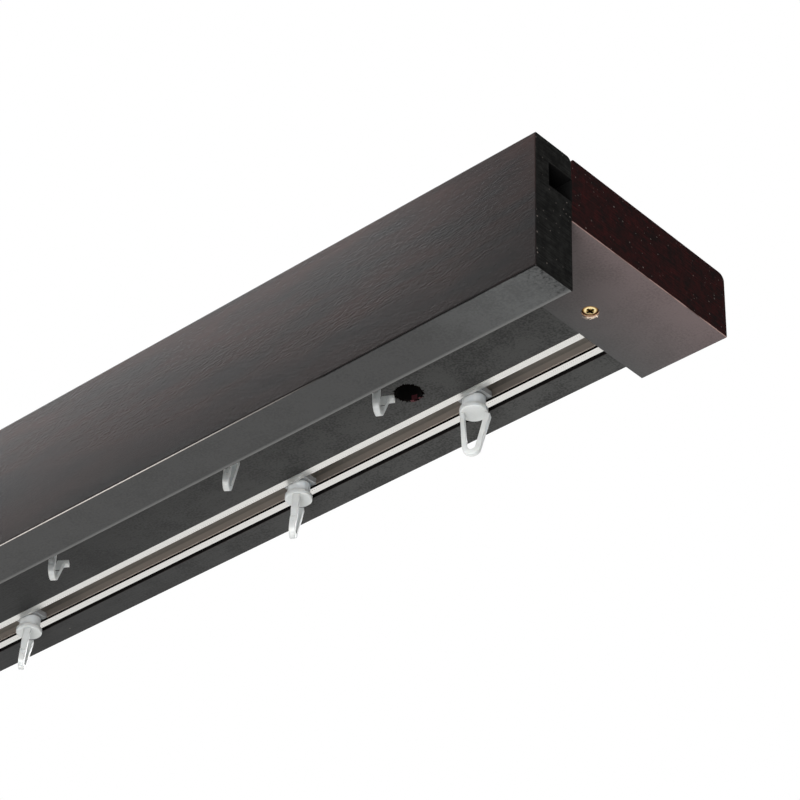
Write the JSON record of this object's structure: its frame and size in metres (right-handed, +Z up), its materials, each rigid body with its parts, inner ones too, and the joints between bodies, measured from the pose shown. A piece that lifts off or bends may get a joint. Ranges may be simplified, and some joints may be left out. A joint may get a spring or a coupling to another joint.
{
  "type": "curtain track",
  "caption": "Wooden two-channel ceiling curtain track with a front pelmet board, end blocks and gliders with swivel hooks.",
  "frame": {"origin": "middle of the ceiling face, at half the rail's length and depth", "axes": "+X along the rail, +Y from the pelmet board towards the wall, +Z up into the ceiling"},
  "size_m": [1.2, 0.11, 0.06],
  "materials": {
    "stained_wood": "wenge-stained, matt lacquer",
    "channel_metal": "extruded, mill finish",
    "passivated_screw": "yellow-passivated steel",
    "zinc_screw": "zinc-plated",
    "glider_plastic": "natural nylon, moulded",
    "hook_plastic": "natural nylon, moulded"
  },
  "bodies": {
    "rail": {"fascia": "stained_wood", "base_board": "stained_wood", "end_block_left": "stained_wood", "end_block_right": "stained_wood", "track_front": "channel_metal", "track_rear": "channel_metal", "end_block_screws": "passivated_screw", "track_screws": "zinc_screw"},
    "glider_front_1": {"glider_front_1": "glider_plastic"},
    "hook_front_1": {"hook_front_1": "hook_plastic"},
    "glider_front_2": {"glider_front_2": "glider_plastic"},
    "hook_front_2": {"hook_front_2": "hook_plastic"},
    "glider_front_3": {"glider_front_3": "glider_plastic"},
    "hook_front_3": {"hook_front_3": "hook_plastic"},
    "glider_front_4": {"glider_front_4": "glider_plastic"},
    "hook_front_4": {"hook_front_4": "hook_plastic"},
    "glider_front_5": {"glider_front_5": "glider_plastic"},
    "hook_front_5": {"hook_front_5": "hook_plastic"},
    "glider_front_6": {"glider_front_6": "glider_plastic"},
    "hook_front_6": {"hook_front_6": "hook_plastic"},
    "glider_front_7": {"glider_front_7": "glider_plastic"},
    "hook_front_7": {"hook_front_7": "hook_plastic"},
    "glider_rear_1": {"glider_rear_1": "glider_plastic"},
    "hook_rear_1": {"hook_rear_1": "hook_plastic"},
    "glider_rear_2": {"glider_rear_2": "glider_plastic"},
    "hook_rear_2": {"hook_rear_2": "hook_plastic"},
    "glider_rear_3": {"glider_rear_3": "glider_plastic"},
    "hook_rear_3": {"hook_rear_3": "hook_plastic"},
    "glider_rear_4": {"glider_rear_4": "glider_plastic"},
    "hook_rear_4": {"hook_rear_4": "hook_plastic"},
    "glider_rear_5": {"glider_rear_5": "glider_plastic"},
    "hook_rear_5": {"hook_rear_5": "hook_plastic"},
    "glider_rear_6": {"glider_rear_6": "glider_plastic"},
    "hook_rear_6": {"hook_rear_6": "hook_plastic"},
    "glider_rear_7": {"glider_rear_7": "glider_plastic"},
    "hook_rear_7": {"hook_rear_7": "hook_plastic"}
  },
  "joints": [
    {"name": "glider_front_1_slide", "type": "slide", "parent": "rail", "child": "glider_front_1", "axis": [1, 0, 0], "range_m": [-0.03015, 0.0681]},
    {"name": "hook_front_1_swivel", "type": "hinge", "parent": "glider_front_1", "child": "hook_front_1", "pos_m": [0.4829, -0.0076, -0.025], "axis": [0, 0, 1], "continuous": true},
    {"name": "glider_front_2_slide", "type": "slide", "parent": "rail", "child": "glider_front_2", "axis": [1, 0, 0], "range_m": [-0.04245, 0.03015]},
    {"name": "hook_front_2_swivel", "type": "hinge", "parent": "glider_front_2", "child": "hook_front_2", "pos_m": [0.404, -0.0076, -0.025], "axis": [0, 0, 1], "continuous": true},
    {"name": "glider_front_3_slide", "type": "slide", "parent": "rail", "child": "glider_front_3", "axis": [1, 0, 0], "range_m": [-0.06595, 0.04245]},
    {"name": "hook_front_3_swivel", "type": "hinge", "parent": "glider_front_3", "child": "hook_front_3", "pos_m": [0.3005, -0.0076, -0.025], "axis": [0, 0, 1], "continuous": true},
    {"name": "glider_front_4_slide", "type": "slide", "parent": "rail", "child": "glider_front_4", "axis": [1, 0, 0], "range_m": [-0.0757, 0.06595]},
    {"name": "hook_front_4_swivel", "type": "hinge", "parent": "glider_front_4", "child": "hook_front_4", "pos_m": [0.15, -0.0076, -0.025], "axis": [0, 0, 1], "continuous": true},
    {"name": "glider_front_5_slide", "type": "slide", "parent": "rail", "child": "glider_front_5", "axis": [1, 0, 0], "range_m": [-0.0807, 0.0757]},
    {"name": "hook_front_5_swivel", "type": "hinge", "parent": "glider_front_5", "child": "hook_front_5", "pos_m": [-0.02, -0.0076, -0.025], "axis": [0, 0, 1], "continuous": true},
    {"name": "glider_front_6_slide", "type": "slide", "parent": "rail", "child": "glider_front_6", "axis": [1, 0, 0], "range_m": [-0.0857, 0.0807]},
    {"name": "hook_front_6_swivel", "type": "hinge", "parent": "glider_front_6", "child": "hook_front_6", "pos_m": [-0.2, -0.0076, -0.025], "axis": [0, 0, 1], "continuous": true},
    {"name": "glider_front_7_slide", "type": "slide", "parent": "rail", "child": "glider_front_7", "axis": [1, 0, 0], "range_m": [-0.161, 0.0857]},
    {"name": "hook_front_7_swivel", "type": "hinge", "parent": "glider_front_7", "child": "hook_front_7", "pos_m": [-0.39, -0.0076, -0.025], "axis": [0, 0, 1], "continuous": true},
    {"name": "glider_rear_1_slide", "type": "slide", "parent": "rail", "child": "glider_rear_1", "axis": [1, 0, 0], "range_m": [-0.0378, 0.0572]},
    {"name": "hook_rear_1_swivel", "type": "hinge", "parent": "glider_rear_1", "child": "hook_rear_1", "pos_m": [0.4938, 0.0342, -0.025], "axis": [0, 0, 1], "continuous": true},
    {"name": "glider_rear_2_slide", "type": "slide", "parent": "rail", "child": "glider_rear_2", "axis": [1, 0, 0], "range_m": [-0.0725, 0.0378]},
    {"name": "hook_rear_2_swivel", "type": "hinge", "parent": "glider_rear_2", "child": "hook_rear_2", "pos_m": [0.3996, 0.0342, -0.025], "axis": [0, 0, 1], "continuous": true},
    {"name": "glider_rear_3_slide", "type": "slide", "parent": "rail", "child": "glider_rear_3", "axis": [1, 0, 0], "range_m": [-0.0637, 0.0725]},
    {"name": "hook_rear_3_swivel", "type": "hinge", "parent": "glider_rear_3", "child": "hook_rear_3", "pos_m": [0.236, 0.0342, -0.025], "axis": [0, 0, 1], "continuous": true},
    {"name": "glider_rear_4_slide", "type": "slide", "parent": "rail", "child": "glider_rear_4", "axis": [1, 0, 0], "range_m": [-0.0707, 0.0637]},
    {"name": "hook_rear_4_swivel", "type": "hinge", "parent": "glider_rear_4", "child": "hook_rear_4", "pos_m": [0.09, 0.0342, -0.025], "axis": [0, 0, 1], "continuous": true},
    {"name": "glider_rear_5_slide", "type": "slide", "parent": "rail", "child": "glider_rear_5", "axis": [1, 0, 0], "range_m": [-0.0757, 0.0707]},
    {"name": "hook_rear_5_swivel", "type": "hinge", "parent": "glider_rear_5", "child": "hook_rear_5", "pos_m": [-0.07, 0.0342, -0.025], "axis": [0, 0, 1], "continuous": true},
    {"name": "glider_rear_6_slide", "type": "slide", "parent": "rail", "child": "glider_rear_6", "axis": [1, 0, 0], "range_m": [-0.0807, 0.0757]},
    {"name": "hook_rear_6_swivel", "type": "hinge", "parent": "glider_rear_6", "child": "hook_rear_6", "pos_m": [-0.24, 0.0342, -0.025], "axis": [0, 0, 1], "continuous": true},
    {"name": "glider_rear_7_slide", "type": "slide", "parent": "rail", "child": "glider_rear_7", "axis": [1, 0, 0], "range_m": [-0.131, 0.0807]},
    {"name": "hook_rear_7_swivel", "type": "hinge", "parent": "glider_rear_7", "child": "hook_rear_7", "pos_m": [-0.42, 0.0342, -0.025], "axis": [0, 0, 1], "continuous": true}
  ]
}
